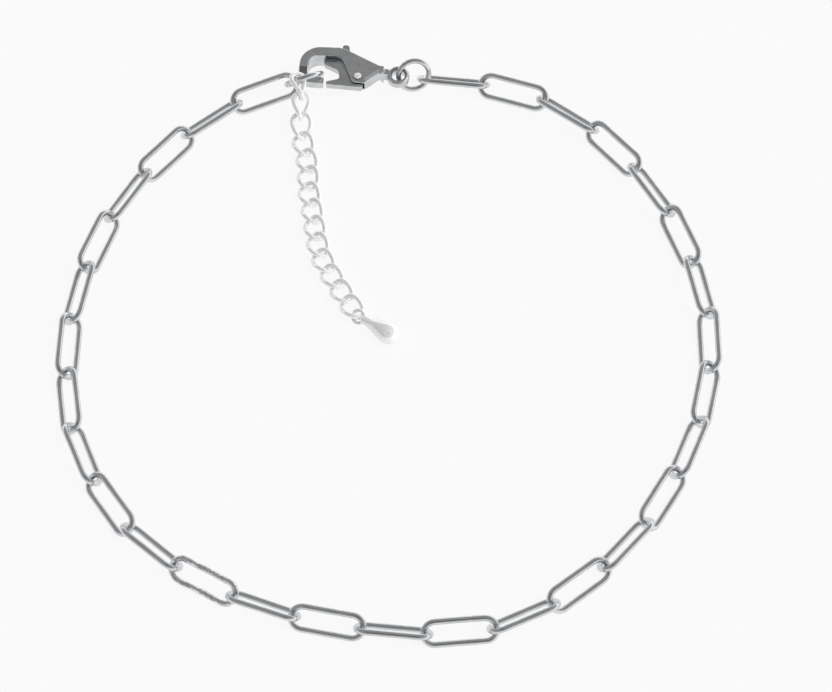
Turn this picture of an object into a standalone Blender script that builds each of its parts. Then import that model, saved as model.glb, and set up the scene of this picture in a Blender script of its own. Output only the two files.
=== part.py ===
"""Paperclip chain anklet, lying closed in one round loop, with a lobster clasp, a curb extender and a drop.

Metres, +Z up. The anklet lies on z = 0, its origin at the bottom centre of its own box. Thirty long oval
links run clockwise from the clasp's eye round to its hook, each leaning the other way to its neighbours.
The clasp is made in a frame of its own, with the eye's centre at the origin and the hook towards -X.
"""

import math

import bmesh
import bpy
from mathutils import Matrix, Vector

MM = 0.001

# Gap left between two wires that hook each other, and between parts that turn on each other
PLAY = 0.1 * MM

# Paperclip links: the pitch is what each link adds to the chain's length
LINK_COUNT = 30
LINK_PITCH = 6.72 * MM
LINK_WIDTH = 3.05 * MM
LINK_WIRE = 0.65 * MM
LINK_LEAN = math.radians(45)
LINK_ARC_STEPS = 6

# Extender: curb links, each an oval whose height goes twice through a wave
CURB_COUNT = 14
CURB_PITCH = 2.21 * MM
CURB_WIDTH = 2.55 * MM
CURB_WIRE = 0.5 * MM
CURB_RISE = 0.4 * MM
CURB_STEPS = 14

# Jump rings of round wire, one through the clasp's eye and one round its hook
RING_WIRE = 0.6 * MM
RING_STEPS = 16
EYE_RING_DIAMETER = 4.0 * MM
EYE_RING_HEADING = math.radians(20)
EYE_RING_TILT = math.radians(28)
HOOK_RING_DIAMETER = 4.6 * MM
HOOK_RING_HEADING = math.radians(27)
HOOK_RING_TILT = math.radians(-30)
HOOK_RING_INSET_X = 0.66 * MM
HOOK_RING_INSET_Y = 0.58 * MM
EXTENDER_SEAT = math.radians(120)

# Clasp body: how far its hook, its far side and its near side lie from the centre of its eye
CLASP_REACH = 10.9 * MM
CLASP_FAR = 2.6 * MM
CLASP_NEAR = 2.1 * MM
CLASP_LIFT = 0.85 * MM
CHEEK_THICKNESS = 0.55 * MM
CREST_REACH = 2.1 * MM
CREST_ROUND = 2.4 * MM
BACK_FALL = 0.3 * MM
HOOK_BAND = 0.95 * MM
HOOK_NEAR_BAND = 0.85 * MM
HOOK_CROWN = 1.3 * MM
HOOK_FAR_ROUND = 2.3 * MM
HOOK_NEAR_ROUND = 1.3 * MM
HOOK_TIP_THICKNESS = 1.0 * MM
TIP_ROUND = 0.15 * MM
TAPER_RUN = 0.8 * MM
BOWL_FAR_ROUND = 1.2 * MM
BOWL_NEAR_ROUND = 0.45 * MM
BOWL_MOUTH_RISE = 0.1 * MM
BOWL_MOUTH_ROUND = 0.8 * MM
CHEEK_BESIDE_PIVOT = 0.55 * MM
CHEEK_BEHIND_PIVOT = 0.85 * MM
CHEEK_NEAR = 0.6 * MM
CHEEK_ROUND = 0.4 * MM
EYE_DIAMETER = 2.5 * MM
EYE_HOLE = 1.4 * MM
EYE_THICKNESS = 1.2 * MM
EYE_CHAMFER = 0.2 * MM
NECK_WIDTH = 0.8 * MM
NECK_OFFSET = 0.2 * MM
NECK_TRIM = 0.03 * MM
NECK_ROUND = 0.1 * MM
SHOULDER_X = -1.6 * MM
SHOULDER_RUN = 0.5 * MM

# Clasp lever, turning on a rivet between the cheeks
LEVER_THICKNESS = 0.8 * MM
LEVER_HUB = 1.0 * MM
GATE_REACH = 3.4 * MM
GATE_TIP_WIDTH = 0.38 * MM
GATE_ROUND = 0.12 * MM
THROAT_REACH = 1.95 * MM
THROAT_NEAR = 0.1 * MM
THROAT_FAR = 1.0 * MM
THROAT_SLANT = 0.35 * MM
THROAT_ROUND = 0.4 * MM
ARM_REACH = 3.9 * MM
ARM_NEAR = 1.7 * MM
ARM_FAR = 2.75 * MM
ARM_BACK = 3.3 * MM
ARM_ROUND = 0.2 * MM
HUB_ROUND = 0.3 * MM
HUB_BEHIND = 0.62 * MM
NUB_REACH = 0.83 * MM
NUB_WIDTH = 0.7 * MM
NUB_OFFSET = 2.15 * MM
NUB_FLARE = 0.2 * MM
NUB_ROUND = 0.25 * MM
PIVOT = Vector((-4.35 * MM, -1.05 * MM, 0))
RIVET_DIAMETER = 0.64 * MM
WEB_GAP = 0.8 * MM
ROUND_STEPS = 16

# How far a cutter runs on past the metal it cuts
CUT_PAST = 0.5 * MM

# Drop: a solid teardrop lying on its side, its flat eye rolled to take the last curb link
DROP_LENGTH = 4.5 * MM
DROP_DIAMETER = 2.3 * MM
DROP_EYE_DIAMETER = 1.7 * MM
DROP_EYE_HOLE = 1.0 * MM
DROP_EYE_THICKNESS = 0.45 * MM
DROP_EYE_HEIGHT = 0.74 * MM
DROP_EYE_OFFSET = 0.25 * MM
DROP_START = 0.55 * MM
DROP_HEADING = math.radians(-37)
DROP_ROLL = math.radians(-48)
# The bulb's outline: share of its length, share of its radius
DROP_PROFILE = (
    (0, 0.42),
    (0.2, 0.5),
    (0.4, 0.74),
    (0.58, 0.93),
    (0.72, 1),
    (0.84, 0.92),
    (0.93, 0.7),
    (0.985, 0.36),
    (1, 0),
)

# Where the loop lies, millimetres, clockwise from the eye ring; it is scaled to the chain's own length
LOOP_ROUTE = (
    (3.5, 33.2),
    (16.6, 30.4),
    (26.4, 21.4),
    (32.2, 9.4),
    (33.7, -3.7),
    (29.9, -16.7),
    (22.2, -27.7),
    (10.9, -35.0),
    (-2.3, -35.1),
    (-15.3, -31.6),
    (-26.4, -23.9),
    (-32.9, -12.1),
    (-33.8, 1.3),
    (-30.4, 14.2),
    (-22.7, 25.3),
    (-11.6, 32.4),
)

# Where the extender lies, from its seat on the hook ring: x and y in millimetres, then its height above
# the floor as a share of the seat's, then how far it is turned about its own length, in degrees
EXTENDER_ROUTE = (
    (0.4, -1.9, 0.70, -60),
    (0.35, -4.2, 0.22, -30),
    (0.5, -6.3, 0, 0),
    (1.0, -8.4, 0, 0),
    (1.3, -10.4, 0, 0),
    (1.2, -12.5, 0, 0),
    (1.7, -15.0, 0, 0),
    (2.1, -18.2, 0, 0),
    (2.7, -21.2, 0, 0),
    (3.9, -23.7, 0, 0),
    (5.2, -26.1, 0, 0),
    (6.7, -28.6, 0, 0),
)
ROUTE_STEPS = 24

UP = Vector((0, 0, 1))
AHEAD = Vector((1, 0, 0))
CLASP_THICKNESS = LEVER_THICKNESS + 2 * PLAY + 2 * CHEEK_THICKNESS
CLASP_TOP = CLASP_LIFT + CLASP_THICKNESS
CLASP_MIDDLE = CLASP_LIFT + CLASP_THICKNESS / 2
LINK_HEIGHT = (LINK_WIDTH - LINK_WIRE) / 2 * math.sin(LINK_LEAN) + LINK_WIRE / 2
CURB_HEIGHT = CURB_RISE + CURB_WIRE / 2
NECK_FAR = NECK_WIDTH / 2 + NECK_OFFSET
NECK_NEAR = NECK_FAR - NECK_WIDTH
EYE_WALL_MIDDLE = (EYE_DIAMETER + EYE_HOLE) / 4 + EYE_CHAMFER / 2
BOWL_NEAR = HOOK_NEAR_BAND - CLASP_NEAR
BOWL_FAR = CLASP_FAR - HOOK_CROWN
GATE_TIP_X = PIVOT.x - GATE_REACH
# The hook's tip stands clear of the circle that the gate's near corner swings through
HOOK_TIP_X = PIVOT.x - math.hypot(GATE_REACH, LEVER_HUB) - 1.5 * PLAY


def metal(name, colour, roughness):
    made = bpy.data.materials.new(name)
    made.use_nodes = True
    shader = made.node_tree.nodes["Principled BSDF"]
    shader.inputs["Base Color"].default_value = (*colour, 1)
    shader.inputs["Metallic"].default_value = 1
    shader.inputs["Roughness"].default_value = roughness
    return made


def add_object(name, data, finish, place, holder):
    """An object in the scene at the matrix place, held by the anklet's empty."""
    made = bpy.data.objects.new(name, data)
    if not data.materials:
        data.materials.append(finish)
    bpy.context.collection.objects.link(made)
    made.parent = holder
    made.matrix_basis = place
    return made


def axes_matrix(x_axis, y_axis, origin):
    """The matrix that turns X and Y to two perpendicular unit vectors and moves the origin."""
    turn = Matrix((x_axis, y_axis, x_axis.cross(y_axis))).transposed()
    return Matrix.Translation(origin) @ turn.to_4x4()


def chain_matrix(start, end, roll):
    """A link's place: its length from start to end, its width rolled out of the level direction."""
    length_axis = (end - start).normalized()
    level = UP.cross(length_axis).normalized()
    width_axis = Matrix.Rotation(roll, 3, length_axis) @ level
    return axes_matrix(length_axis, width_axis, (start + end) / 2)


def circle_points(diameter, steps):
    turns = (2 * math.pi * step / steps for step in range(steps))
    return [Vector((math.cos(turn), math.sin(turn), 0)) * diameter / 2 for turn in turns]


def oval_points(length, width, arc_steps):
    """A stadium: two half circles joined by straight sides."""
    radius = width / 2
    points = []
    for end in (1, -1):
        centre = AHEAD * (length / 2 - radius) * end
        for step in range(arc_steps + 1):
            turn = math.pi * (step / arc_steps - 0.5)
            points.append(centre + Vector((math.cos(turn), math.sin(turn), 0)) * radius * end)
    return points


def curb_points(length, width, rise, steps):
    """An ellipse whose height goes twice through a wave, which is what lets curb links lie flat."""
    turns = (2 * math.pi * step / steps for step in range(steps))
    return [
        Vector((length / 2 * math.cos(t), width / 2 * math.sin(t), -rise * math.sin(2 * t)))
        for t in turns
    ]


def wire_loop(name, points, wire):
    """A closed wire with six sides through the given centre-line points."""
    made = bpy.data.curves.new(name, "CURVE")
    made.dimensions = "3D"
    made.bevel_depth = wire / 2
    made.bevel_resolution = 1
    spline = made.splines.new("POLY")
    spline.points.add(len(points) - 1)
    for knot, point in zip(spline.points, points):
        knot.co = (*point, 1)
    spline.use_cyclic_u = True
    return made


def smooth_point(a, b, c, d, share):
    """The point a share of the way from b to c on the smooth curve through four knots."""
    return b + 0.5 * share * (
        c - a + share * (2 * a - 5 * b + 4 * c - d + share * (3 * (b - c) + d - a))
    )


def smooth_route(knots, closed):
    """Points along the smooth curve through the knots; an open one runs straight on past its end."""
    if closed:
        knots = [knots[-1], *knots, knots[0], knots[1]]
    else:
        knots = [2 * knots[0] - knots[1], *knots, 2 * knots[-1] - knots[-2]]
    points = []
    for four in zip(knots, knots[1:], knots[2:], knots[3:]):
        points += [smooth_point(*four, step / ROUTE_STEPS) for step in range(ROUTE_STEPS)]
    if not closed:
        points += [knots[-2] + (knots[-1] - knots[-2]) * step for step in range(4)]
    return points


def joints_along(points, pitch, count):
    """The joints met by stepping one pitch at a time along the points, measured in X, Y and Z."""

    def distance(point):
        return (point - joints[-1]).resized(3).length

    joints = [points[0]]
    at = 0
    while len(joints) <= count:
        while distance(points[at + 1]) < pitch:
            at += 1
        low, high = 0.0, 1.0
        for _ in range(40):
            middle = (low + high) / 2
            if distance(points[at].lerp(points[at + 1], middle)) < pitch:
                low = middle
            else:
                high = middle
        joints.append(points[at].lerp(points[at + 1], low))
    return joints


class TiltedRing:
    """A round wire ring resting on the floor: level along its heading, climbing to its left by the tilt."""

    def __init__(self, diameter, heading, tilt):
        self.radius = (diameter - RING_WIRE) / 2
        self.across = Matrix.Rotation(heading, 3, UP) @ AHEAD
        self.climb = UP * math.cos(tilt) + UP.cross(self.across) * math.sin(tilt)
        self.centre = UP * (self.radius * self.climb.z + RING_WIRE / 2)

    def point(self, turn):
        return self.centre + (self.across * math.cos(turn) + self.climb * math.sin(turn)) * self.radius

    def turn_at_height(self, height):
        """The turn at which the ring's front half has its wire at this height."""
        return math.asin((height - self.centre.z) / (self.radius * self.climb.z))

    def link_joint(self, turn):
        """The joint of a link that runs out level from the ring and hooks its wire at this turn."""
        clear = (RING_WIRE + LINK_WIRE) / 2 + 2.2 * PLAY
        inset = clear / abs(math.cos(turn)) - (LINK_WIRE + PLAY) / 2
        return self.point(turn) - self.across * math.copysign(inset, math.cos(turn))

    def matrix(self):
        return axes_matrix(self.across, self.climb, self.centre)


def clasp_rings():
    """The eye ring through the middle of the eye, and the hook ring round the hook's near corner."""
    eye_ring = TiltedRing(EYE_RING_DIAMETER, EYE_RING_HEADING, EYE_RING_TILT)
    through = eye_ring.point(math.pi - eye_ring.turn_at_height(CLASP_MIDDLE))
    eye_ring.centre -= Vector((through.x, through.y, 0))
    hook_ring = TiltedRing(HOOK_RING_DIAMETER, HOOK_RING_HEADING, HOOK_RING_TILT)
    hook_ring.centre.x = HOOK_RING_INSET_X - CLASP_REACH
    hook_ring.centre.y = HOOK_RING_INSET_Y - CLASP_NEAR
    return eye_ring, hook_ring


def rounded(corners):
    """A flat outline through corners given as (x, y, fillet radius)."""
    outline = []
    for index, (x, y, radius) in enumerate(corners):
        corner = Vector((x, y))
        back = (Vector(corners[index - 1][:2]) - corner).normalized()
        ahead = (Vector(corners[(index + 1) % len(corners)][:2]) - corner).normalized()
        half = back.angle(ahead) / 2
        centre = corner + (back + ahead).normalized() * radius / math.sin(half)
        start = corner + back * radius / math.tan(half) - centre
        end = corner + ahead * radius / math.tan(half) - centre
        sweep = math.atan2(start.cross(end), start.dot(end))
        steps = max(1, round(abs(sweep) / math.radians(24)))
        outline += [
            centre + Matrix.Rotation(sweep * step / steps, 2) @ start for step in range(steps + 1)
        ]
    return outline


def to_mesh(name, shape):
    bmesh.ops.recalc_face_normals(shape, faces=shape.faces)
    made = bpy.data.meshes.new(name)
    shape.to_mesh(made)
    shape.free()
    return made


def plate(name, outline, low, high):
    """A flat slab with the given outline between two heights."""
    shape = bmesh.new()
    face = shape.faces.new([shape.verts.new((point.x, point.y, low)) for point in outline])
    raised = bmesh.ops.extrude_face_region(shape, geom=[face])["geom"]
    tops = [part for part in raised if isinstance(part, bmesh.types.BMVert)]
    bmesh.ops.translate(shape, verts=tops, vec=UP * (high - low))
    return to_mesh(name, shape)


def turned(name, profile, steps):
    """A solid turned about Z from a closed profile of (radius, height) points."""
    shape = bmesh.new()
    line = [shape.verts.new((radius, 0, height)) for radius, height in profile]
    edges = [shape.edges.new(pair) for pair in zip(line, line[1:])]
    if profile[0][0] > 0:
        edges.append(shape.edges.new((line[-1], line[0])))
    bmesh.ops.spin(
        shape, geom=line + edges, axis=UP, angle=2 * math.pi, steps=steps, use_merge=True
    )
    bmesh.ops.remove_doubles(shape, verts=shape.verts, dist=0.001 * MM)
    return to_mesh(name, shape)


def add_tool(target, operation, data):
    """Joins a mesh to the target, or cuts it away, as a live Boolean; the mesh shares its frame."""
    tool = add_object(data.name, data, target.data.materials[0], target.matrix_basis, target.parent)
    tool.hide_render = True
    tool.display_type = "WIRE"
    modifier = target.modifiers.new(data.name, "BOOLEAN")
    modifier.operation = operation
    modifier.object = tool


def clasp_outline():
    """The casting seen from above, clockwise from the neck: far side, hook, bowl, cheeks."""
    hook_end, hook_inside = -CLASP_REACH, HOOK_BAND - CLASP_REACH
    shoulder_end = SHOULDER_X - SHOULDER_RUN
    return rounded(
        [
            (SHOULDER_X, NECK_FAR, NECK_ROUND),
            (shoulder_end, NECK_FAR, CHEEK_ROUND),
            (PIVOT.x - CREST_REACH, CLASP_FAR, CREST_ROUND),
            (hook_end, CLASP_FAR - BACK_FALL, HOOK_FAR_ROUND),
            (hook_end, -CLASP_NEAR, HOOK_NEAR_ROUND),
            (HOOK_TIP_X, -CLASP_NEAR, TIP_ROUND),
            (HOOK_TIP_X, BOWL_NEAR, TIP_ROUND),
            (hook_inside, BOWL_NEAR, BOWL_NEAR_ROUND),
            (hook_inside, BOWL_FAR, BOWL_FAR_ROUND),
            (PIVOT.x - CREST_REACH, BOWL_FAR + BOWL_MOUTH_RISE, BOWL_MOUTH_ROUND),
            (PIVOT.x - CHEEK_BESIDE_PIVOT, PIVOT.y - CHEEK_NEAR, CHEEK_ROUND),
            (PIVOT.x + CHEEK_BEHIND_PIVOT, PIVOT.y - CHEEK_NEAR, CHEEK_ROUND),
            (shoulder_end, NECK_NEAR, CHEEK_ROUND),
            (SHOULDER_X, NECK_NEAR, NECK_ROUND),
        ]
    )


def lever_outline():
    """The lever seen from above, from its rivet: gate to the hook's tip, then across to the thumb nub."""
    near = -LEVER_HUB
    nub_far = CLASP_FAR + NUB_REACH - PIVOT.y
    return rounded(
        [
            (-GATE_REACH, near, GATE_ROUND),
            (-GATE_REACH, near + GATE_TIP_WIDTH, GATE_ROUND),
            (-THROAT_REACH, -THROAT_NEAR, THROAT_ROUND),
            (-THROAT_REACH - THROAT_SLANT, THROAT_FAR, THROAT_ROUND),
            (-ARM_REACH, ARM_NEAR, ARM_ROUND),
            (-ARM_REACH, ARM_FAR, ARM_ROUND),
            (-NUB_OFFSET, ARM_BACK, ARM_ROUND),
            (-NUB_OFFSET, nub_far, NUB_ROUND),
            (NUB_WIDTH - NUB_OFFSET, nub_far, NUB_ROUND),
            (NUB_WIDTH + NUB_FLARE - NUB_OFFSET, nub_far - NUB_REACH, NUB_ROUND),
            (HUB_BEHIND, RIVET_DIAMETER / 2, ARM_ROUND),
            (HUB_BEHIND, near, HUB_ROUND),
        ]
    )


def slot_outline():
    """The slot between the cheeks seen from above; its far half runs on over the lever's wide arm."""
    arm_end, gate_end, web = PIVOT.x - ARM_REACH - PLAY, GATE_TIP_X - PLAY, PIVOT.x + WEB_GAP
    far, near = CLASP_FAR + CUT_PAST, -CLASP_NEAR - CUT_PAST
    return [
        Vector(corner)
        for corner in (
            (arm_end, PIVOT.y),
            (arm_end, far),
            (web, far),
            (web, near),
            (gate_end, near),
            (gate_end, PIVOT.y),
        )
    ]


def box(name, low, high):
    """A block between two opposite corners."""
    corners = ((low.x, low.y), (high.x, low.y), (high.x, high.y), (low.x, high.y))
    return plate(name, [Vector(corner) for corner in corners], low.z, high.z)


def hook_taper(name, side):
    """The wedge that thins the hook's near side, cut away above it (side 1) or below it (side -1)."""
    half, tall, near = HOOK_TIP_THICKNESS / 2, CLASP_THICKNESS, -CLASP_NEAR
    section = ((TAPER_RUN, tall), (TAPER_RUN, tall / 2), (0, half), (near, half), (near, tall))
    reach = (CLASP_REACH + HOOK_TIP_X) / 2
    made = plate(name, [Vector(point) for point in section], -reach - CUT_PAST, reach + CUT_PAST)
    middle = Vector((HOOK_TIP_X - reach, BOWL_NEAR + PLAY, CLASP_MIDDLE))
    made.transform(axes_matrix(UP.cross(AHEAD), UP * side, middle))
    return made


def flat_eye(name, diameter, hole, thickness, chamfer):
    """A flat ring with its hole's edges chamfered, its middle at the origin."""
    half = thickness / 2
    profile = (
        (diameter / 2, -half),
        (diameter / 2, half),
        (hole / 2 + chamfer, half),
        (hole / 2, half - chamfer),
        (hole / 2, chamfer - half),
        (hole / 2 + chamfer, -half),
    )
    return turned(name, profile, ROUND_STEPS)


def pin(name, diameter, low, high):
    """A round pin standing on the clasp's pivot, between two heights."""
    made = turned(name, ((0, low), (diameter / 2, low), (diameter / 2, high), (0, high)), ROUND_STEPS)
    made.transform(Matrix.Translation(PIVOT))
    return made


def build_clasp(place, holder):
    slot_low = CLASP_MIDDLE - LEVER_THICKNESS / 2 - PLAY
    slot_high = CLASP_MIDDLE + LEVER_THICKNESS / 2 + PLAY
    lever_low = CLASP_MIDDLE - LEVER_THICKNESS / 2
    neck_half = EYE_THICKNESS / 2 - NECK_TRIM
    hole, cut_low, cut_high = RIVET_DIAMETER + PLAY, CLASP_LIFT - CUT_PAST, CLASP_TOP + CUT_PAST

    casting = plate("casting", clasp_outline(), CLASP_LIFT, CLASP_TOP)
    body = add_object("clasp_body", casting, polished, place, holder)
    add_tool(body, "DIFFERENCE", plate("lever_slot", slot_outline(), slot_low, slot_high))
    for name, side in (("taper_above", 1), ("taper_below", -1)):
        add_tool(body, "DIFFERENCE", hook_taper(name, side))
    add_tool(body, "DIFFERENCE", pin("rivet_hole", hole, cut_low, cut_high))
    neck_low = Vector((SHOULDER_X - NECK_WIDTH, NECK_NEAR + NECK_TRIM, CLASP_MIDDLE - neck_half))
    neck_high = Vector((-EYE_WALL_MIDDLE, NECK_FAR - NECK_TRIM, CLASP_MIDDLE + neck_half))
    add_tool(body, "UNION", box("neck", neck_low, neck_high))
    eye = flat_eye("eye", EYE_DIAMETER, EYE_HOLE, EYE_THICKNESS, EYE_CHAMFER)
    eye.transform(Matrix.Translation(UP * CLASP_MIDDLE))
    add_tool(body, "UNION", eye)

    lever_data = plate("lever", lever_outline(), lever_low, lever_low + LEVER_THICKNESS)
    lever_data.transform(Matrix.Translation(PIVOT))
    lever = add_object("clasp_lever", lever_data, polished, place, holder)
    add_tool(lever, "DIFFERENCE", pin("lever_hole", hole, cut_low, cut_high))
    rivet = pin("rivet", RIVET_DIAMETER, CLASP_LIFT, CLASP_TOP)
    add_object("clasp_rivet", rivet, polished, place, holder)


def loop_joints(span):
    """The joints round the loop, the route scaled until the first and the last lie one clasp span apart."""
    route = smooth_route([Vector((x, y, 0)) for x, y in LOOP_ROUTE], True)
    round_trip = sum((b - a).length for a, b in zip(route, [*route[1:], route[0]]))
    wanted = (LINK_COUNT * LINK_PITCH + span) / round_trip
    low, high = 0.98 * wanted, 1.02 * wanted
    for _ in range(30):
        scale = (low + high) / 2
        joints = joints_along([point * scale for point in route], LINK_PITCH, LINK_COUNT)
        if (joints[0] - joints[-1]).length < span:
            low = scale
        else:
            high = scale
    return [joint + UP * LINK_HEIGHT for joint in joints]


def extender_joints(seat):
    """The joints down the extender from its seat on the hook ring, each with its twist as a fourth number."""
    knots = []
    for x, y, rise, twist in EXTENDER_ROUTE:
        height = CURB_HEIGHT + rise * (seat.z - CURB_HEIGHT)
        knots.append(Vector((seat.x + x * MM, seat.y + y * MM, height, math.radians(twist))))
    down = (knots[0].resized(3) - seat).normalized()
    first = seat - down * (RING_WIRE + PLAY) / 2
    knots.insert(0, Vector((*first, knots[0].w)))
    return joints_along(smooth_route(knots, False), CURB_PITCH, CURB_COUNT)


def build_drop(joint, along, holder):
    """The drop, its eye round the end of the last curb link and its bulb on the floor."""
    radius = DROP_DIAMETER / 2
    outline = [(share_r * radius, DROP_START + share_z * DROP_LENGTH) for share_z, share_r in DROP_PROFILE]
    bulb = turned("bulb", [(0, DROP_START), *outline], ROUND_STEPS)
    widest = max(outline)[1]
    eye_centre = joint + along * DROP_EYE_OFFSET
    eye_centre.z = DROP_EYE_HEIGHT
    level = Matrix.Rotation(DROP_HEADING, 3, UP) @ AHEAD
    fall = math.asin((radius - DROP_EYE_HEIGHT) / widest)
    length_axis = level * math.cos(fall) + UP * math.sin(fall)
    side = UP.cross(level)
    width_axis = Matrix.Rotation(DROP_ROLL, 3, length_axis) @ side
    place = axes_matrix(width_axis, length_axis.cross(width_axis), eye_centre)
    drop = add_object("extender_drop", bulb, bright, place, holder)
    eye = flat_eye("drop_eye", DROP_EYE_DIAMETER, DROP_EYE_HOLE, DROP_EYE_THICKNESS, EYE_CHAMFER / 2)
    eye.transform(Matrix.Rotation(math.pi / 2, 4, "Y"))
    add_tool(drop, "UNION", eye)


for old in list(bpy.data.objects):
    bpy.data.objects.remove(old)

plated = metal("plated_steel_grey", (0.62, 0.63, 0.65), 0.25)
bright = metal("bright_silver_plate", (0.85, 0.86, 0.88), 0.2)
polished = metal("polished_clasp", (0.6, 0.61, 0.63), 0.15)

anklet = bpy.data.objects.new("anklet", None)
bpy.context.collection.objects.link(anklet)

# Where the chain's two ends hook the rings, in the clasp's own frame
eye_ring, hook_ring = clasp_rings()
first_joint = eye_ring.link_joint(eye_ring.turn_at_height(LINK_HEIGHT))
last_joint = hook_ring.link_joint(math.pi - hook_ring.turn_at_height(LINK_HEIGHT))
clasp_span = first_joint - last_joint

loop = loop_joints(clasp_span.length)
for number, (start, end) in enumerate(zip(loop, loop[1:]), 1):
    link_name = f"paperclip_link_{number:02}"
    oval = oval_points(LINK_PITCH + LINK_WIRE + PLAY, LINK_WIDTH - LINK_WIRE, LINK_ARC_STEPS)
    place = chain_matrix(start, end, -LINK_LEAN if number % 2 else LINK_LEAN)
    add_object(link_name, wire_loop(link_name, oval, LINK_WIRE), plated, place, anklet)

# The clasp and its rings close the gap that the loop leaves
gap = loop[0] - loop[-1]
turn = math.atan2(gap.y, gap.x) - math.atan2(clasp_span.y, clasp_span.x)
clasp_place = Matrix.Rotation(turn, 4, "Z")
shift = loop[0] - clasp_place @ first_joint
clasp_place = Matrix.Translation(Vector((shift.x, shift.y, 0))) @ clasp_place
for ring_name, ring, diameter in (
    ("jump_ring_eye", eye_ring, EYE_RING_DIAMETER),
    ("jump_ring_hook", hook_ring, HOOK_RING_DIAMETER),
):
    wire = wire_loop(ring_name, circle_points(diameter - RING_WIRE, RING_STEPS), RING_WIRE)
    add_object(ring_name, wire, plated, clasp_place @ ring.matrix(), anklet)
build_clasp(clasp_place, anklet)

extender = extender_joints(clasp_place @ hook_ring.point(EXTENDER_SEAT))
for number, (start, end) in enumerate(zip(extender, extender[1:]), 1):
    link_name = f"extender_link_{number:02}"
    wave = curb_points(CURB_PITCH + CURB_WIRE + PLAY, CURB_WIDTH - CURB_WIRE, CURB_RISE, CURB_STEPS)
    twist = (start.w + end.w) / 2
    place = chain_matrix(start.resized(3), end.resized(3), twist)
    add_object(link_name, wire_loop(link_name, wave, CURB_WIRE), bright, place, anklet)
last_curb = extender[-1].resized(3)
build_drop(last_curb, (last_curb - extender[-2].resized(3)).normalized(), anklet)

# The origin goes to the bottom centre of the box round all of its solids
bpy.context.view_layer.update()
shown = bpy.context.evaluated_depsgraph_get()
corners = []
for made in bpy.data.objects:
    if made.data and not made.hide_render:
        outline = made.evaluated_get(shown)
        surface = outline.to_mesh()
        corners += [outline.matrix_world @ vertex.co for vertex in surface.vertices]
        outline.to_mesh_clear()
lowest = Vector([min(corner[axis] for corner in corners) for axis in range(3)])
highest = Vector([max(corner[axis] for corner in corners) for axis in range(3)])
anklet.location = -(lowest + highest) / 2
anklet.location.z = -lowest.z
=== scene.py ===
import math
import random

import bmesh
import bpy
import numpy as np
from mathutils import Matrix, Vector, noise


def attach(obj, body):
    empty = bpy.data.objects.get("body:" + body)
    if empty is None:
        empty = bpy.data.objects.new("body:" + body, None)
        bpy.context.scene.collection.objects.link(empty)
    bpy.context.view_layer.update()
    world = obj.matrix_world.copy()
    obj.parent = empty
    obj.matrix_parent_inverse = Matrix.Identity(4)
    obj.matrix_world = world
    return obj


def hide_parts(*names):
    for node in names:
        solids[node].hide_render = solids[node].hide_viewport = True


# Chain anklet of paperclip links, lying closed in one loop, with a lobster clasp, two jump rings, a curb
# extender and a small drop. Each solid of the frame is made again here, in the real wire or casting.
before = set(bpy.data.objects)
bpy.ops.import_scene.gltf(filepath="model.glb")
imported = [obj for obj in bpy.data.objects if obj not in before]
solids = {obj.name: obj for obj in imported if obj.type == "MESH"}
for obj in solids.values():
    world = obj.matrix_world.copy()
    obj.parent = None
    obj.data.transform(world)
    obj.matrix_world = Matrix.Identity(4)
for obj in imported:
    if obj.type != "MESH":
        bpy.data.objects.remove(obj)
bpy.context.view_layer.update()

MM = 0.001
UP = Vector((0, 0, 1))
AHEAD = Vector((1, 0, 0))

# Paperclip links, their length and width taken along the middle of the wire
LINK_COUNT = 30
LINK_LENGTH = 7.47 * MM
LINK_WIDTH = 2.4 * MM
LINK_WIRE = 0.65 * MM
LINK_ARC_STEPS = 14
LINK_SIDE_STEPS = 14
LINK_WIRE_SIDES = 18
LINK_SEED = 7
# Hand-closed links: the long sides bow by a few hundredths of a millimetre and the ends twist a little
LINK_BOW = 0.035 * MM
LINK_TWIST = 0.03
# Where a link's soldered joint may lie, in steps along one of its long sides
LINK_SEAM_STEPS = (3, 11)

# One link is hammered: broad and fine dents over its face, shallower ones on its sides
HAMMERED_LINK = 19
BROAD_DENT = 0.7 * MM
FINE_DENT = 0.35 * MM
FACE_DENT_DEPTH = 0.13 * MM
SIDE_DENT = 0.8 * MM
SIDE_DENT_DEPTH = 0.04 * MM
# Moves the noise along, so that the sides' dents don't repeat the face's
SIDE_DENT_SHIFT = Vector((5, 5, 5))

# Jump rings of round wire, each with its soldered joint so many steps round it
RING_WIRE = 0.6 * MM
RING_STEPS = 64
RING_WIRE_SIDES = 20
EYE_RING_DIAMETER = 4.0 * MM
EYE_RING_SEAM = 5
HOOK_RING_DIAMETER = 4.6 * MM
HOOK_RING_SEAM = 40

# Curb links of the extender: ovals whose height goes twice through a wave
CURB_COUNT = 14
CURB_LENGTH = 2.81 * MM
CURB_WIDTH = 2.05 * MM
CURB_RISE = 0.4 * MM
CURB_WIRE = 0.5 * MM
CURB_STEPS = 48
CURB_WIRE_SIDES = 16
CURB_SEED = 3

# A soldered joint dips by a share of the wire's radius, between two slight swells
LINK_DIP = 0.07
RING_DIP = 0.16
CURB_DIP = 0.08
SOLDER_SWELL = 1.012

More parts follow.
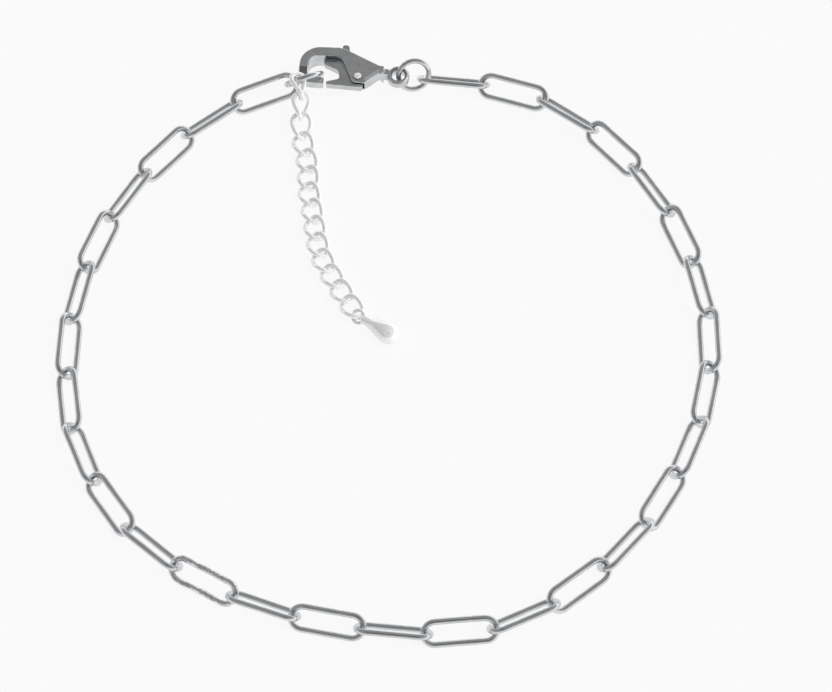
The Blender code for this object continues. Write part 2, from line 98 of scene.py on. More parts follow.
# The sizes from here on are in millimetres. The clasp has a frame of its own: the centre of its eye is
# the origin, and its hook lies towards -X
CLASP_TURN = math.radians(-6.283)
PLAY = 0.1
CLASP_REACH = 10.9
CLASP_FAR = 2.6
CLASP_NEAR = 2.1
CLASP_LOW = 0.85
CLASP_HIGH = 2.95
CLASP_MIDDLE = (CLASP_LOW + CLASP_HIGH) / 2
CREST_REACH = 2.1
CREST_ROUND = 2.4
BACK_FALL = 0.3
HOOK_BAND = 0.95
HOOK_NEAR_BAND = 0.85
HOOK_CROWN = 1.3
HOOK_FAR_ROUND = 2.3
HOOK_NEAR_ROUND = 1.3
HOOK_TIP_X = -8.04
HOOK_TIP_HALF = 0.5
TIP_ROUND = 0.15
TAPER_RUN = 0.8
BOWL_NEAR = HOOK_NEAR_BAND - CLASP_NEAR
BOWL_FAR = CLASP_FAR - HOOK_CROWN
BOWL_NEAR_ROUND = 0.45
BOWL_FAR_ROUND = 1.2
BOWL_MOUTH_RISE = 0.1
BOWL_MOUTH_ROUND = 0.8
CHEEK_BESIDE_PIVOT = 0.55
CHEEK_BEHIND_PIVOT = 0.85
CHEEK_NEAR = 0.6
CHEEK_ROUND = 0.4
SHOULDER_X = -1.6
SHOULDER_RUN = 0.5
NECK_FAR = 0.6
NECK_NEAR = -0.2
NECK_ROUND = 0.1
NECK_TRIM = 0.03
NECK_START = -2.4
NECK_END = -1.075

# The clasp's eye; its rim and its hole are bevelled by so much along the face and down the edge
EYE_RADIUS = 1.25
EYE_HOLE_RADIUS = 0.7
EYE_HALF = 0.6
EYE_RIM_BEVEL = (0.23, 0.3)
EYE_HOLE_BEVEL = (0.2, 0.25)

# The lever, measured from the rivet that it turns on
PIVOT = Vector((-4.35, -1.05, 0))
LEVER_HALF = 0.4
LEVER_HUB = 1.0
HUB_BEHIND = 0.62
HUB_ROUND = 0.3
GATE_REACH = 3.4
GATE_TIP_WIDTH = 0.38
GATE_ROUND = 0.12
THROAT_REACH = 1.95
THROAT_NEAR = 0.1
THROAT_FAR = 1.0
THROAT_SLANT = 0.35
THROAT_ROUND = 0.4
ARM_REACH = 3.9
ARM_NEAR = 1.7
ARM_FAR = 2.75
ARM_BACK = 3.3
ARM_ROUND = 0.2
NUB_REACH = 0.83
NUB_WIDTH = 0.7
NUB_OFFSET = 2.15
NUB_FLARE = 0.2
NUB_ROUND = 0.25
# How far behind the rivet's axis the slot for the lever ends
WEB_GAP = 0.8

# The rivet, its ends peened into low domes
RIVET_RADIUS = 0.32
RIVET_HEAD_RADIUS = 0.4
RIVET_DOME = 0.1
DOME_STEPS = 8

# The cheeks' bevelled near edges: the cutter's slope runs on past both faces, and past the edge's ends
BEVEL_SIZE = 0.42
BEVEL_PAST = 0.1
BEVEL_CLEAR = 0.6
BEVEL_RUN_ON = 0.25

# Cutters of the clasp run on past all its metal
CUT_REACH = 4
TAPER_MIDDLE_X = -9.5
TAPER_HALF_LENGTH = 2

# The drop: its eye's centre and its turns; the bulb's outline is shares of its length and of its radius
DROP_EYE = Vector((-3.166, 2.25, 0.779))
DROP_HEADING = math.radians(-37)
DROP_ROLL = math.radians(-48)
DROP_RADIUS = 1.15
DROP_START = 0.55
DROP_LENGTH = 4.5
DROP_PROFILE = (
    (0, 0.42),
    (0.2, 0.5),
    (0.4, 0.74),
    (0.58, 0.93),
    (0.72, 1),
    (0.84, 0.92),
    (0.93, 0.7),
    (0.985, 0.36),
    (1, 0),
)
PROFILE_STEPS = 6
DROP_EYE_RADIUS = 0.85
DROP_EYE_HOLE_RADIUS = 0.5
DROP_EYE_HALF = 0.22
DROP_EYE_BEVEL = 0.05

# How finely turned and cast pieces are made: steps round an axis, and the size of the cells and the
# number of smoothing passes that melt the edges of a casting
HOLE_STEPS = 32
RIVET_STEPS = 48
EYE_STEPS = 64
DROP_STEPS = 64
DROP_EYE_STEPS = 48
FILLET_STEP = math.radians(6)
WELD_DISTANCE = 0.001
CASTING_CELL = 0.05
CASTING_PASSES = 7
FINE_CELL = 0.04
FINE_PASSES = 5


# Colours and shader nodes


def linear(colour):
    """An sRGB hex colour as linear red, green, blue and alpha."""
    parts = [int(colour[place:place + 2], 16) / 255 for place in (1, 3, 5)]
    return [part / 12.92 if part <= 0.04045 else ((part + 0.055) / 1.055) ** 2.4 for part in parts] + [1]


def add_node(tree, kind, settings=None, links=None):
    """Adds a node, sets its properties or unlinked sockets, and links its inputs."""
    node = tree.nodes.new(kind)
    for name, value in (settings or {}).items():
        if isinstance(name, str) and hasattr(node, name):
            setattr(node, name, value)
        else:
            node.inputs[name].default_value = value
    for name, source in (links or {}).items():
        tree.links.new(source, node.inputs[name])
    return node


# Polishing marks are 0.01 mm wide on the real one, drawn 0.06 mm wide so that they show
MARK_WIDTH = 0.06 * MM


def metal(
    name,
    tint,
    dull_tint,
    roughness,
    rough_spread,
    cloud_mm,
    dent_mm,
    dent_depth_mm,
    mark_depth_mm=0,
    metallic=1,
):
    """A plated metal: cloudy wear in colour and gloss, shallow dents, and polishing marks if asked for."""
    made = bpy.data.materials.new(name)
    made.use_nodes = True
    tree = made.node_tree
    shader = tree.nodes["Principled BSDF"]
    shader.inputs["Metallic"].default_value = metallic
    where = add_node(tree, "ShaderNodeTexCoord").outputs["Object"]
    cloud = add_node(
        tree,
        "ShaderNodeTexNoise",
        {"Scale": 1 / (cloud_mm * MM), "Detail": 4, "Roughness": 0.6},
        {"Vector": where},
    )
    # Most of the noise lies in this range, which is spread from one tint to the other
    spread = add_node(
        tree, "ShaderNodeMapRange", {"From Min": 0.38, "From Max": 0.68}, {"Value": cloud.outputs["Fac"]}
    )
    tone = add_node(
        tree,
        "ShaderNodeMix",
        {"data_type": "RGBA"},
        {"Factor": spread.outputs["Result"]},
    )
    clean, dull = [socket for socket in tone.inputs if socket.type == "RGBA"]
    clean.default_value = linear(tint)
    dull.default_value = linear(dull_tint)
    blended = [socket for socket in tone.outputs if socket.type == "RGBA"][0]
    tree.links.new(blended, shader.inputs["Base Color"])
    gloss = add_node(
        tree,
        "ShaderNodeMapRange",
        {"To Min": roughness - rough_spread, "To Max": roughness + rough_spread},
        {"Value": cloud.outputs["Fac"]},
    )
    tree.links.new(gloss.outputs["Result"], shader.inputs["Roughness"])
    dents = add_node(
        tree,
        "ShaderNodeTexNoise",
        {"Scale": 1 / (dent_mm * MM), "Detail": 2, "Roughness": 0.5},
        {"Vector": where},
    )
    bump = add_node(
        tree,
        "ShaderNodeBump",
        {"Strength": 1.0, "Distance": dent_depth_mm * MM},
        {"Height": dents.outputs["Fac"]},
    )
    if mark_depth_mm:
        marks = add_node(
            tree,
            "ShaderNodeTexNoise",
            {"Scale": 1 / MARK_WIDTH, "Detail": 3, "Distortion": 0.4},
            {"Vector": where},
        )
        bump = add_node(
            tree,
            "ShaderNodeBump",
            {"Strength": 1.0, "Distance": mark_depth_mm * MM},
            {"Height": marks.outputs["Fac"], "Normal": bump.outputs["Normal"]},
        )
    tree.links.new(bump.outputs["Normal"], shader.inputs["Normal"])
    return made


# Drawn steel wire under a grey rhodium-coloured plate: glossy, a little cloudy where it is handled
plated_wire = metal(
    "rhodium_plated_wire",
    tint="#D8D9DB",
    dull_tint="#C8CACC",
    roughness=0.25,
    rough_spread=0.06,
    cloud_mm=2.5,
    dent_mm=1.6,
    dent_depth_mm=0.012,
)
# The same wire flattened a little by hammer blows, which break its reflections into spots
hammered_wire = metal(
    "hammered_plated_wire",
    tint="#E4E5E7",
    dull_tint="#C4C6C8",
    roughness=0.2,
    rough_spread=0.08,
    cloud_mm=1.2,
    dent_mm=0.4,
    dent_depth_mm=0.16,
)
# Silver plate over brass wire, with a white frost on it: nearly white beside the grey chain. The frost
# scatters light as no bare metal does, so the metallic value is below a half
silver_wire = metal(
    "frosted_silver_plated_wire",
    tint="#FCFCFC",
    dull_tint="#F4F4F4",
    roughness=0.16,
    rough_spread=0.05,
    cloud_mm=1.5,
    dent_mm=0.9,
    dent_depth_mm=0.012,
    metallic=0.45,
)
# The drop's silver plate, buffed over the same frost: smooth and white, with broad soft waves
buffed_silver = metal(
    "buffed_silver_plate",
    tint="#FCFCFC",
    dull_tint="#F2F2F2",
    roughness=0.1,
    rough_spread=0.03,
    cloud_mm=2.0,
    dent_mm=1.8,
    dent_depth_mm=0.02,
    metallic=0.35,
)
# Zinc alloy casting, tumbled and plated: cloudier, with a satin break-up from the barrel
cast_plate = metal(
    "tumbled_cast_plate",
    tint="#D0D1D2",
    dull_tint="#C2C3C5",
    roughness=0.24,
    rough_spread=0.06,
    cloud_mm=0.9,
    dent_mm=0.45,
    dent_depth_mm=0.012,
    mark_depth_mm=0.0012,
)
# The rivet is plain steel, peened over. Its near-white colour and low metallic value are a painted glint,
# which makes its ends the brightest spot on the clasp
steel_with_painted_glint = metal(
    "steel_pin_painted_glint",
    tint="#FCFCFC",
    dull_tint="#F0F0F0",
    roughness=0.3,
    rough_spread=0.05,
    cloud_mm=0.6,
    dent_mm=0.3,
    dent_depth_mm=0.01,
    metallic=0.4,
)
# The lever is stamped from sheet: evener than the casting. Its whole tint is a shade darker than the
# casting's, as painted shade for the slot that it lies in
lever_plate_with_painted_shade = metal(
    "stamped_plated_lever_painted_shade",
    tint="#C8C9CA",
    dull_tint="#B8B9BB",
    roughness=0.24,
    rough_spread=0.06,
    cloud_mm=1.0,
    dent_mm=0.6,
    dent_depth_mm=0.008,
    mark_depth_mm=0.001,
)


# Meshes and pieces


def axes_matrix(x_axis, y_axis, origin):
    """The matrix that turns X and Y to two perpendicular unit vectors and moves the origin."""
    turn = Matrix((x_axis, y_axis, x_axis.cross(y_axis))).transposed()
    return Matrix.Translation(origin) @ turn.to_4x4()


def solid_axes(node):
    """A node's own frame: X along its longest spread, Z along its shortest, the origin at its middle."""
    corners = np.unique(np.round([vertex.co for vertex in solids[node].data.vertices], 7), axis=0)
    middle = corners.mean(axis=0)
    _, _, axes = np.linalg.svd(corners - middle)
    return axes_matrix(Vector(axes[0]).normalized(), Vector(axes[1]).normalized(), Vector(middle))


def finish_mesh(name, shape):
    """A smooth-shaded mesh from a bmesh, its faces turned outwards."""
    bmesh.ops.recalc_face_normals(shape, faces=shape.faces)
    made = bpy.data.meshes.new(name)
    shape.to_mesh(made)
    shape.free()
    made.shade_smooth()
    return made


def place_piece(name, data, finish, body, slot, *nodes):
    """A finished piece in the scene, riding on a body and standing for its CAD nodes."""
    made = bpy.data.objects.new(name, data)
    bpy.context.collection.objects.link(made)
    made.data.materials.clear()
    made.data.materials.append(finish)
    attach(made, body)
    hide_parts(*nodes)


# Wires: chain links, jump rings and curb links


def swept_wire(path, radii, sides):
    """A closed wire swept round a loop of points, its circle carried from point to point."""
    shape = bmesh.new()
    ring = bmesh.ops.create_circle(shape, segments=sides, radius=1)["verts"]
    count = len(path)
    tangents = [(path[(at + 1) % count] - path[at - 1]).normalized() for at in range(count)]
    side = tangents[0].orthogonal().normalized()
    spots = []
    for at in range(count):
        side = (side - tangents[at] * side.dot(tangents[at])).normalized()
        turn = Matrix((side, tangents[at].cross(side), tangents[at])).transposed().to_4x4()
        spots.append(Matrix.Translation(path[at]) @ turn @ Matrix.Scale(radii[at], 4))
    # The circle comes back turned a little, so the turn is spread over the whole loop
    final = (side - tangents[0] * side.dot(tangents[0])).normalized()
    start_side = spots[0].to_3x3().col[0].normalized()
    slip = math.atan2(final.cross(start_side).dot(tangents[0]), final.dot(start_side))
    spots = [spot @ Matrix.Rotation(slip * at / count, 4, "Z") for at, spot in enumerate(spots)]
    bmesh.ops.transform(shape, matrix=spots[0], verts=ring)
    edges = list({edge for vertex in ring for edge in vertex.link_edges})
    first_edges = edges
    for last, spot in zip(spots, spots[1:]):
        grown = bmesh.ops.extrude_edge_only(shape, edges=edges)["geom"]
        moved = [part for part in grown if isinstance(part, bmesh.types.BMVert)]
        edges = [part for part in grown if isinstance(part, bmesh.types.BMEdge)]
        bmesh.ops.transform(shape, matrix=spot @ last.inverted(), verts=moved)
    bmesh.ops.bridge_loops(shape, edges=first_edges + edges)
    return shape


def stadium_path(length, width, arc_steps, side_steps):
    """Two half circles joined by straight sides, as evenly spaced points on each."""
    radius = width / 2
    straight = length - width
    points = []
    for end in (1, -1):
        centre = AHEAD * straight / 2 * end
        for step in range(arc_steps):
            turn = math.pi * (step / arc_steps - 0.5)
            points.append(centre + Vector((math.cos(turn), math.sin(turn), 0)) * radius * end)
        for step in range(side_steps):
            points.append(centre + (UP.cross(AHEAD) * radius - AHEAD * straight * step / side_steps) * end)
    return points


def turns_round(steps):
    """Evenly spaced angles once round, in radians."""
    return [math.tau * step / steps for step in range(steps)]


def seam_radii(count, seam, radius, dip):
    """The wire's radius at each point: even, but for one soldered joint where it dips."""
    radii = [radius] * count
    radii[seam] = radius * (1 - dip)
    for beside in (seam - 1, (seam + 1) % count):
        radii[beside] = radius * SOLDER_SWELL
    return radii


def hammer(shape):
    """Dents in a link that lies flat: along Z over its face, along Y on its sides."""
    for vertex in shape.verts:
        dent = noise.noise(vertex.co / BROAD_DENT) + 0.5 * noise.noise(vertex.co / FINE_DENT)
        vertex.co.z += FACE_DENT_DEPTH * dent
        vertex.co.y += SIDE_DENT_DEPTH * noise.noise(vertex.co / SIDE_DENT + SIDE_DENT_SHIFT)


def build_links():
    """The loop's thirty links, each laid into its solid's own frame."""
    chance = random.Random(LINK_SEED)
    half_round = LINK_ARC_STEPS + LINK_SIDE_STEPS
    for number in range(1, LINK_COUNT + 1):
        node = f"paperclip_link_{number:02}"
        path = stadium_path(LINK_LENGTH, LINK_WIDTH, LINK_ARC_STEPS, LINK_SIDE_STEPS)
        bow = [chance.uniform(-LINK_BOW, LINK_BOW) for _ in range(2)]
        twist = chance.uniform(-LINK_TWIST, LINK_TWIST)
        for point in path:
            share = 2 * point.x / LINK_LENGTH
            point.y += bow[point.y > 0] * (1 - share * share)
            point.z += twist * point.y * share
        seam = LINK_ARC_STEPS + chance.randrange(*LINK_SEAM_STEPS) + half_round * chance.randrange(2)
        shape = swept_wire(path, seam_radii(len(path), seam, LINK_WIRE / 2, LINK_DIP), LINK_WIRE_SIDES)
        finish = plated_wire
        if number == HAMMERED_LINK:
            hammer(shape)
            finish = hammered_wire
        bmesh.ops.transform(shape, matrix=solid_axes(node), verts=shape.verts)
        place_piece(f"link_{number:02}", finish_mesh(node, shape), finish, "anklet", "plated_steel", node)


def build_rings():
    """The jump ring in the clasp's eye, and the wider one round its hook."""
    for name, node, diameter, seam in (
        ("eye_ring", "jump_ring_eye", EYE_RING_DIAMETER, EYE_RING_SEAM),
        ("hook_ring", "jump_ring_hook", HOOK_RING_DIAMETER, HOOK_RING_SEAM),
    ):
        radius = (diameter - RING_WIRE) / 2
        path = [Vector((math.cos(turn), math.sin(turn), 0)) * radius for turn in turns_round(RING_STEPS)]
        shape = swept_wire(path, seam_radii(RING_STEPS, seam, RING_WIRE / 2, RING_DIP), RING_WIRE_SIDES)
        bmesh.ops.transform(shape, matrix=solid_axes(node), verts=shape.verts)
        place_piece(name, finish_mesh(node, shape), plated_wire, "anklet", "plated_steel", node)


def curb_point(turn):
    """A point of a curb link's wire: round an oval, its height going through two waves."""
    return Vector(
        (
            CURB_LENGTH / 2 * math.cos(turn),
            CURB_WIDTH / 2 * math.sin(turn),
            -CURB_RISE * math.sin(2 * turn),
        )
    )


def build_extender():
    """The extender's curb links, each laid into its solid's own frame."""
    chance = random.Random(CURB_SEED)
    for number in range(1, CURB_COUNT + 1):
        node = f"extender_link_{number:02}"
        seam = chance.randrange(CURB_STEPS)
        path = [curb_point(turn) for turn in turns_round(CURB_STEPS)]
        shape = swept_wire(path, seam_radii(CURB_STEPS, seam, CURB_WIRE / 2, CURB_DIP), CURB_WIRE_SIDES)
        bmesh.ops.transform(shape, matrix=solid_axes(node), verts=shape.verts)
        data = finish_mesh(node, shape)
        place_piece(f"curb_{number:02}", data, silver_wire, "anklet", "silver_plate", node)


# Plates, turned solids and castings, in millimetres


def rounded(corners):
    """A flat outline through corners given as (x, y, fillet radius)."""
    outline = []
    for index, (x, y, radius) in enumerate(corners):
        corner = Vector((x, y))
        back = (Vector(corners[index - 1][:2]) - corner).normalized()
        ahead = (Vector(corners[(index + 1) % len(corners)][:2]) - corner).normalized()
        half = back.angle(ahead) / 2
        centre = corner + (back + ahead).normalized() * radius / math.sin(half)
        start = corner + back * radius / math.tan(half) - centre
        end = corner + ahead * radius / math.tan(half) - centre
        sweep = math.atan2(start.cross(end), start.dot(end))
        steps = max(2, round(abs(sweep) / FILLET_STEP))
        outline += [centre + Matrix.Rotation(sweep * step / steps, 2) @ start for step in range(steps + 1)]
    return outline


def plate(outline, low, high):
    """A flat piece with this outline between two heights."""
    shape = bmesh.new()
    face = shape.faces.new([shape.verts.new((point[0], point[1], low)) for point in outline])
    raised = bmesh.ops.extrude_face_region(shape, geom=[face])["geom"]
    tops = [part for part in raised if isinstance(part, bmesh.types.BMVert)]
    bmesh.ops.translate(shape, verts=tops, vec=UP * (high - low))
    return finish_mesh("plate", shape)


def block(low, high):
    """A block between two opposite corners."""
    corners = [(low[0], low[1]), (high[0], low[1]), (high[0], high[1]), (low[0], high[1])]
    return plate(corners, low[2], high[2])


def turned(profile, steps, centre=Vector()):
    """A solid turned about an upright axis, from a closed profile of (radius, height) points."""
    shape = bmesh.new()
    line = [shape.verts.new((radius, 0, height)) for radius, height in profile]
    edges = [shape.edges.new(pair) for pair in zip(line, line[1:])]
    if profile[0][0] > 0:
        edges.append(shape.edges.new((line[-1], line[0])))
    bmesh.ops.spin(shape, geom=line + edges, axis=UP, angle=math.tau, steps=steps, use_merge=True)
    bmesh.ops.remove_doubles(shape, verts=shape.verts, dist=WELD_DISTANCE)
    bmesh.ops.translate(shape, verts=shape.verts, vec=centre)
    return finish_mesh("turned", shape)


def cast(base, tools, cell, passes):
    """The base after each (operation, mesh) tool, with its edges melted round as a tumbled casting's are."""
    worker = bpy.data.objects.new("worker", base)
    helpers = [worker]
    bpy.context.collection.objects.link(worker)
    for operation, data in tools:
        helper = bpy.data.objects.new("tool", data)
        helpers.append(helper)
        bpy.context.collection.objects.link(helper)
        modifier = worker.modifiers.new("shape", "BOOLEAN")
        modifier.operation = operation
        modifier.object = helper
    melt = worker.modifiers.new("melt", "REMESH")
    melt.voxel_size = cell
    even = worker.modifiers.new("even", "SMOOTH")
    even.iterations = passes
    made = bpy.data.meshes.new_from_object(worker.evaluated_get(bpy.context.evaluated_depsgraph_get()))
    for helper in helpers:
        bpy.data.objects.remove(helper)
    return made


# Clasp: casting, lever and rivet


def clasp_outline():
    """The casting seen from above, clockwise from the neck: far side, hook, bowl, cheeks."""
    hook_inside = HOOK_BAND - CLASP_REACH
    shoulder_end = SHOULDER_X - SHOULDER_RUN
    return rounded(
        [
            (SHOULDER_X, NECK_FAR, NECK_ROUND),
            (shoulder_end, NECK_FAR, CHEEK_ROUND),
            (PIVOT.x - CREST_REACH, CLASP_FAR, CREST_ROUND),
            (-CLASP_REACH, CLASP_FAR - BACK_FALL, HOOK_FAR_ROUND),
            (-CLASP_REACH, -CLASP_NEAR, HOOK_NEAR_ROUND),
            (HOOK_TIP_X, -CLASP_NEAR, TIP_ROUND),
            (HOOK_TIP_X, BOWL_NEAR, TIP_ROUND),
            (hook_inside, BOWL_NEAR, BOWL_NEAR_ROUND),
            (hook_inside, BOWL_FAR, BOWL_FAR_ROUND),
            (PIVOT.x - CREST_REACH, BOWL_FAR + BOWL_MOUTH_RISE, BOWL_MOUTH_ROUND),
            (PIVOT.x - CHEEK_BESIDE_PIVOT, PIVOT.y - CHEEK_NEAR, CHEEK_ROUND),
            (PIVOT.x + CHEEK_BEHIND_PIVOT, PIVOT.y - CHEEK_NEAR, CHEEK_ROUND),
            (shoulder_end, NECK_NEAR, CHEEK_ROUND),
            (SHOULDER_X, NECK_NEAR, NECK_ROUND),
        ]
    )


def lever_outline():
    """The lever seen from above, from its rivet: gate to the hook's tip, then across to the thumb nub."""
    nub_far = CLASP_FAR + NUB_REACH - PIVOT.y
    return rounded(
        [
            (-GATE_REACH, -LEVER_HUB, GATE_ROUND),
            (-GATE_REACH, GATE_TIP_WIDTH - LEVER_HUB, GATE_ROUND),
            (-THROAT_REACH, -THROAT_NEAR, THROAT_ROUND),
            (-THROAT_REACH - THROAT_SLANT, THROAT_FAR, THROAT_ROUND),
            (-ARM_REACH, ARM_NEAR, ARM_ROUND),
            (-ARM_REACH, ARM_FAR, ARM_ROUND),
            (-NUB_OFFSET, ARM_BACK, ARM_ROUND),
            (-NUB_OFFSET, nub_far, NUB_ROUND),
            (NUB_WIDTH - NUB_OFFSET, nub_far, NUB_ROUND),
            (NUB_WIDTH + NUB_FLARE - NUB_OFFSET, nub_far - NUB_REACH, NUB_ROUND),
            (HUB_BEHIND, RIVET_RADIUS, ARM_ROUND),
            (HUB_BEHIND, -LEVER_HUB, HUB_ROUND),
        ]
    )


def slot_outline():
    """The slot between the cheeks seen from above; its far half runs on over the lever's wide arm."""
    arm_end = PIVOT.x - ARM_REACH - PLAY
    gate_end = PIVOT.x - GATE_REACH - PLAY
    web = PIVOT.x + WEB_GAP
    return [
        (arm_end, PIVOT.y),
        (arm_end, CUT_REACH),
        (web, CUT_REACH),
        (web, -CUT_REACH),
        (gate_end, -CUT_REACH),
        (gate_end, PIVOT.y),
    ]


def hook_taper(side):
    """The wedge that thins the hook's near side, cut away above it (side 1) or below it (side -1)."""
    thick = CLASP_HIGH - CLASP_LOW
    section = [
        (TAPER_RUN, thick),
        (TAPER_RUN, thick / 2),
        (0, HOOK_TIP_HALF),
        (-CLASP_NEAR, HOOK_TIP_HALF),
        (-CLASP_NEAR, thick),
    ]
    made = plate(section, -TAPER_HALF_LENGTH, TAPER_HALF_LENGTH)
    middle = Vector((TAPER_MIDDLE_X, BOWL_NEAR + PLAY, CLASP_MIDDLE))
    made.transform(axes_matrix(UP.cross(AHEAD), UP * side, middle))
    return made


def edge_bevel(start, end, side):
    """The sloping block that takes off the cheeks' near edge, above (side 1) or below (side -1)."""
    start, end = Vector((*start, 0)), Vector((*end, 0))
    along = (end - start).normalized()
    outward = along.cross(UP)
    half_length = (end - start).length / 2 + BEVEL_RUN_ON
    foot = -BEVEL_SIZE - BEVEL_PAST
    section = [
        (BEVEL_CLEAR, foot),
        (BEVEL_CLEAR, BEVEL_CLEAR),
        (foot, BEVEL_CLEAR),
        (foot, BEVEL_PAST),
        (BEVEL_PAST, foot),
    ]
    made = plate(section, -half_length, half_length)
    middle = (start + end) / 2 + UP * (CLASP_HIGH if side > 0 else CLASP_LOW)
    made.transform(axes_matrix(outward, UP * side, middle))
    return made


def eye_section():
    """Half the clasp's eye cut through its axis, as (radius, height) points round the wall."""
    rim_in, rim_down = EYE_RIM_BEVEL
    hole_out, hole_down = EYE_HOLE_BEVEL
    return [
        (EYE_RADIUS, rim_down - EYE_HALF),
        (EYE_RADIUS, EYE_HALF - rim_down),
        (EYE_RADIUS - rim_in, EYE_HALF),
        (EYE_HOLE_RADIUS + hole_out, EYE_HALF),
        (EYE_HOLE_RADIUS, EYE_HALF - hole_down),
        (EYE_HOLE_RADIUS, hole_down - EYE_HALF),
        (EYE_HOLE_RADIUS + hole_out, -EYE_HALF),
        (EYE_RADIUS - rim_in, -EYE_HALF),
    ]


def rivet_section():
    """Half the rivet cut through its axis: a low dome that stands over the cheek, at each end."""
    head = []
    for step in range(DOME_STEPS + 1):
        turn = math.pi / 2 * step / DOME_STEPS
        head.append((RIVET_HEAD_RADIUS * math.sin(turn), RIVET_DOME * math.cos(turn)))
    top = [(radius, CLASP_HIGH + rise) for radius, rise in head]
    shank = [(RIVET_RADIUS, CLASP_HIGH), (RIVET_RADIUS, CLASP_LOW)]
    bottom = [(radius, CLASP_LOW - rise) for radius, rise in reversed(head)]
    return top + shank + bottom


def build_clasp():
    """The clasp's casting, lever and rivet, placed by the middle of the rivet's solid."""
    rivet = [vertex.co for vertex in solids["clasp_rivet"].data.vertices]
    middle = sum(rivet, Vector()) / len(rivet)
    place = Matrix.Translation(middle - UP * CLASP_MIDDLE * MM) @ Matrix.Rotation(CLASP_TURN, 4, "Z")
    place = place @ Matrix.Scale(MM, 4) @ Matrix.Translation(-PIVOT)

    hole_radius = RIVET_RADIUS + PLAY / 2
    hole = [(0, 0), (hole_radius, 0), (hole_radius, CUT_REACH), (0, CUT_REACH)]
    slot_half = LEVER_HALF + PLAY
    neck_half = EYE_HALF - NECK_TRIM
    neck_low = (NECK_START, NECK_NEAR + NECK_TRIM, CLASP_MIDDLE - neck_half)
    neck_high = (NECK_END, NECK_FAR - NECK_TRIM, CLASP_MIDDLE + neck_half)
    cheek_tip = (PIVOT.x - CHEEK_BESIDE_PIVOT, PIVOT.y - CHEEK_NEAR)
    cheek_heel = (PIVOT.x + CHEEK_BEHIND_PIVOT, PIVOT.y - CHEEK_NEAR)
    waist = (SHOULDER_X - SHOULDER_RUN, NECK_NEAR)
    bevels = [
        ("DIFFERENCE", edge_bevel(start, end, side))
        for start, end in ((cheek_tip, cheek_heel), (cheek_heel, waist))
        for side in (1, -1)
    ]
    body = cast(
        plate(clasp_outline(), CLASP_LOW, CLASP_HIGH),
        [
            ("DIFFERENCE", plate(slot_outline(), CLASP_MIDDLE - slot_half, CLASP_MIDDLE + slot_half)),
            ("DIFFERENCE", hook_taper(1)),
            ("DIFFERENCE", hook_taper(-1)),
            *bevels,
            ("DIFFERENCE", turned(hole, HOLE_STEPS, PIVOT)),
            ("UNION", block(neck_low, neck_high)),
            ("UNION", turned(eye_section(), EYE_STEPS, UP * CLASP_MIDDLE)),
        ],
        CASTING_CELL,
        CASTING_PASSES,
    )
    body.transform(place)
    body.shade_smooth()
    place_piece("clasp_casting", body, cast_plate, "anklet", "clasp_metal", "clasp_body")

    sheet = plate(lever_outline(), CLASP_MIDDLE - LEVER_HALF, CLASP_MIDDLE + LEVER_HALF)
    lever = cast(sheet, [("DIFFERENCE", turned(hole, HOLE_STEPS))], FINE_CELL, FINE_PASSES)
    lever.transform(place @ Matrix.Translation(PIVOT))
    lever.shade_smooth()
    place_piece("clasp_gate", lever, lever_plate_with_painted_shade, "lever", "clasp_metal", "clasp_lever")

    pin = turned(rivet_section(), RIVET_STEPS, PIVOT)
    pin.transform(place)
    place_piece("clasp_pin", pin, steel_with_painted_glint, "anklet", "clasp_metal", "clasp_rivet")


# Drop


def smooth_profile(knots):
    """Points along the smooth curve through a row of knots."""
    knots = [Vector(knot) for knot in knots]
    knots = [2 * knots[0] - knots[1], *knots, 2 * knots[-1] - knots[-2]]
    points = []
    for a, b, c, d in zip(knots, knots[1:], knots[2:], knots[3:]):
        for step in range(PROFILE_STEPS):
            share = step / PROFILE_STEPS
            bend = 2 * a - 5 * b + 4 * c - d + share * (3 * (b - c) + d - a)
            points.append(b + 0.5 * share * (c - a + share * bend))
    return [*points, knots[-2]]


def build_drop():
    """The little drop: a fat teardrop lying on its side, with a flat eye cast in one with it."""
    level = Matrix.Rotation(DROP_HEADING, 3, UP) @ AHEAD
    widest = max(DROP_PROFILE, key=lambda knot: knot[1])[0]
    fall = math.asin((DROP_RADIUS - DROP_EYE.z) / (DROP_START + widest * DROP_LENGTH))
    length_axis = level * math.cos(fall) + UP * math.sin(fall)
    width_axis = Matrix.Rotation(DROP_ROLL, 3, length_axis) @ UP.cross(level)
    place = axes_matrix(width_axis, length_axis.cross(width_axis), DROP_EYE * MM) @ Matrix.Scale(MM, 4)
    outline = [
        (max(0, radius) * DROP_RADIUS, DROP_START + share * DROP_LENGTH)
        for share, radius in smooth_profile(DROP_PROFILE)
    ]
    eye = turned(
        [
            (DROP_EYE_RADIUS, -DROP_EYE_HALF),
            (DROP_EYE_RADIUS, DROP_EYE_HALF),
            (DROP_EYE_HOLE_RADIUS + DROP_EYE_BEVEL, DROP_EYE_HALF),
            (DROP_EYE_HOLE_RADIUS, DROP_EYE_HALF - DROP_EYE_BEVEL),
            (DROP_EYE_HOLE_RADIUS, DROP_EYE_BEVEL - DROP_EYE_HALF),
            (DROP_EYE_HOLE_RADIUS + DROP_EYE_BEVEL, -DROP_EYE_HALF),
        ],
        DROP_EYE_STEPS,
    )
    eye.transform(Matrix.Rotation(math.pi / 2, 4, "Y"))
    bulb = turned([(0, DROP_START), *outline], DROP_STEPS)
    drop = cast(bulb, [("UNION", eye)], FINE_CELL, FINE_PASSES)
    drop.transform(place)
    drop.shade_smooth()
    place_piece("drop", drop, buffed_silver, "anklet", "silver_plate", "extender_drop")


build_links()
build_rings()
build_extender()
build_clasp()
build_drop()


# Camera, at the photograph's height and distance

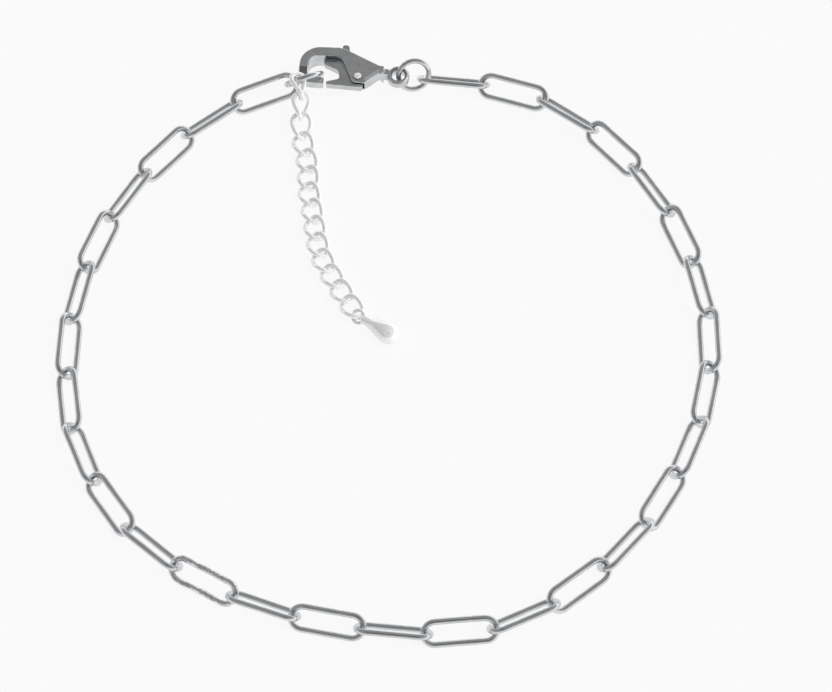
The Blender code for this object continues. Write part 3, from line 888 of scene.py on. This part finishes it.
target = Vector((2.86, -0.93, 0)) * MM
distance = 385.4 * MM
look_down = math.radians(57.95)
lens_way = Vector((0, -math.cos(look_down), math.sin(look_down)))
lens = bpy.data.cameras.new("photo_camera")
lens.lens = 158.37
lens.sensor_width = 36
camera = bpy.data.objects.new("photo_camera", lens)
camera.location = target + lens_way * distance
camera.rotation_euler = (math.pi / 2 - look_down, 0, 0)
bpy.context.collection.objects.link(camera)
bpy.context.scene.camera = camera


# Floor of white paper that glows a little, so that the object's shadow on it stays faint

bpy.context.scene.view_settings.view_transform = "Standard"

floor_shape = bmesh.new()
bmesh.ops.create_grid(floor_shape, x_segments=1, y_segments=1, size=1.5)
floor_data = bpy.data.meshes.new("floor")
floor_shape.to_mesh(floor_data)
floor_shape.free()
floor = bpy.data.objects.new("floor", floor_data)
bpy.context.collection.objects.link(floor)
paper = bpy.data.materials.new("white_paper")
paper.use_nodes = True
paper_shader = paper.node_tree.nodes["Principled BSDF"]
paper_shader.inputs["Base Color"].default_value = linear("#404040")
paper_shader.inputs["Roughness"].default_value = 0.9
paper_shader.inputs["Specular IOR Level"].default_value = 0
paper_shader.inputs["Emission Color"].default_value = linear("#FFFFFF")
paper_shader.inputs["Emission Strength"].default_value = 0.91
floor_data.materials.append(paper)


# Light tent: white low down and grey overhead, with a dark opening where the lens looks in


def tent_area(tree, way, starts, full, outside, inside):
    """The tent's strength over one round area, whose middle lies that way from the object.

    It goes smoothly from outside to inside between starts and full, two cosines of the angle from way.
    """
    facing = add_node(tree, "ShaderNodeTexCoord").outputs["Generated"]
    nearness = add_node(tree, "ShaderNodeVectorMath", {"operation": "DOT_PRODUCT", 1: way}, {0: facing})
    strength = add_node(
        tree,
        "ShaderNodeMapRange",
        {
            "interpolation_type": "SMOOTHSTEP",
            "From Min": starts,
            "From Max": full,
            "To Min": outside,
            "To Max": inside,
        },
        {"Value": nearness.outputs["Value"]},
    )
    return strength.outputs["Result"]


tent = bpy.data.worlds.new("light_tent")
tent.use_nodes = True
bpy.context.scene.world = tent
tree = tent.node_tree
overhead = Vector((-0.15, -0.12, 0.98)).normalized()
grey_top = tent_area(tree, overhead, starts=0, full=0.45, outside=1.45, inside=0.35)
lens_opening = tent_area(tree, lens_way, starts=0.95, full=0.99, outside=1, inside=0.1)
strength = add_node(tree, "ShaderNodeMath", {"operation": "MULTIPLY"}, {0: grey_top, 1: lens_opening})
backdrop = tree.nodes["Background"]
backdrop.inputs["Color"].default_value = linear("#FFFFFF")
tree.links.new(strength.outputs["Value"], backdrop.inputs["Strength"])

# A soft lamp from the right and above whitens what is frosted. It is kept out of mirror reflections, so
# the polished metal doesn't show it
lamp = bpy.data.objects.new("side_lamp", bpy.data.lights.new("side_lamp", "SUN"))
lamp.data.energy = 2
lamp.data.angle = math.radians(50)
lamp.rotation_euler = Vector((0.6, -0.1, 0.8)).to_track_quat("Z", "Y").to_euler()
lamp.visible_glossy = False
bpy.context.collection.objects.link(lamp)
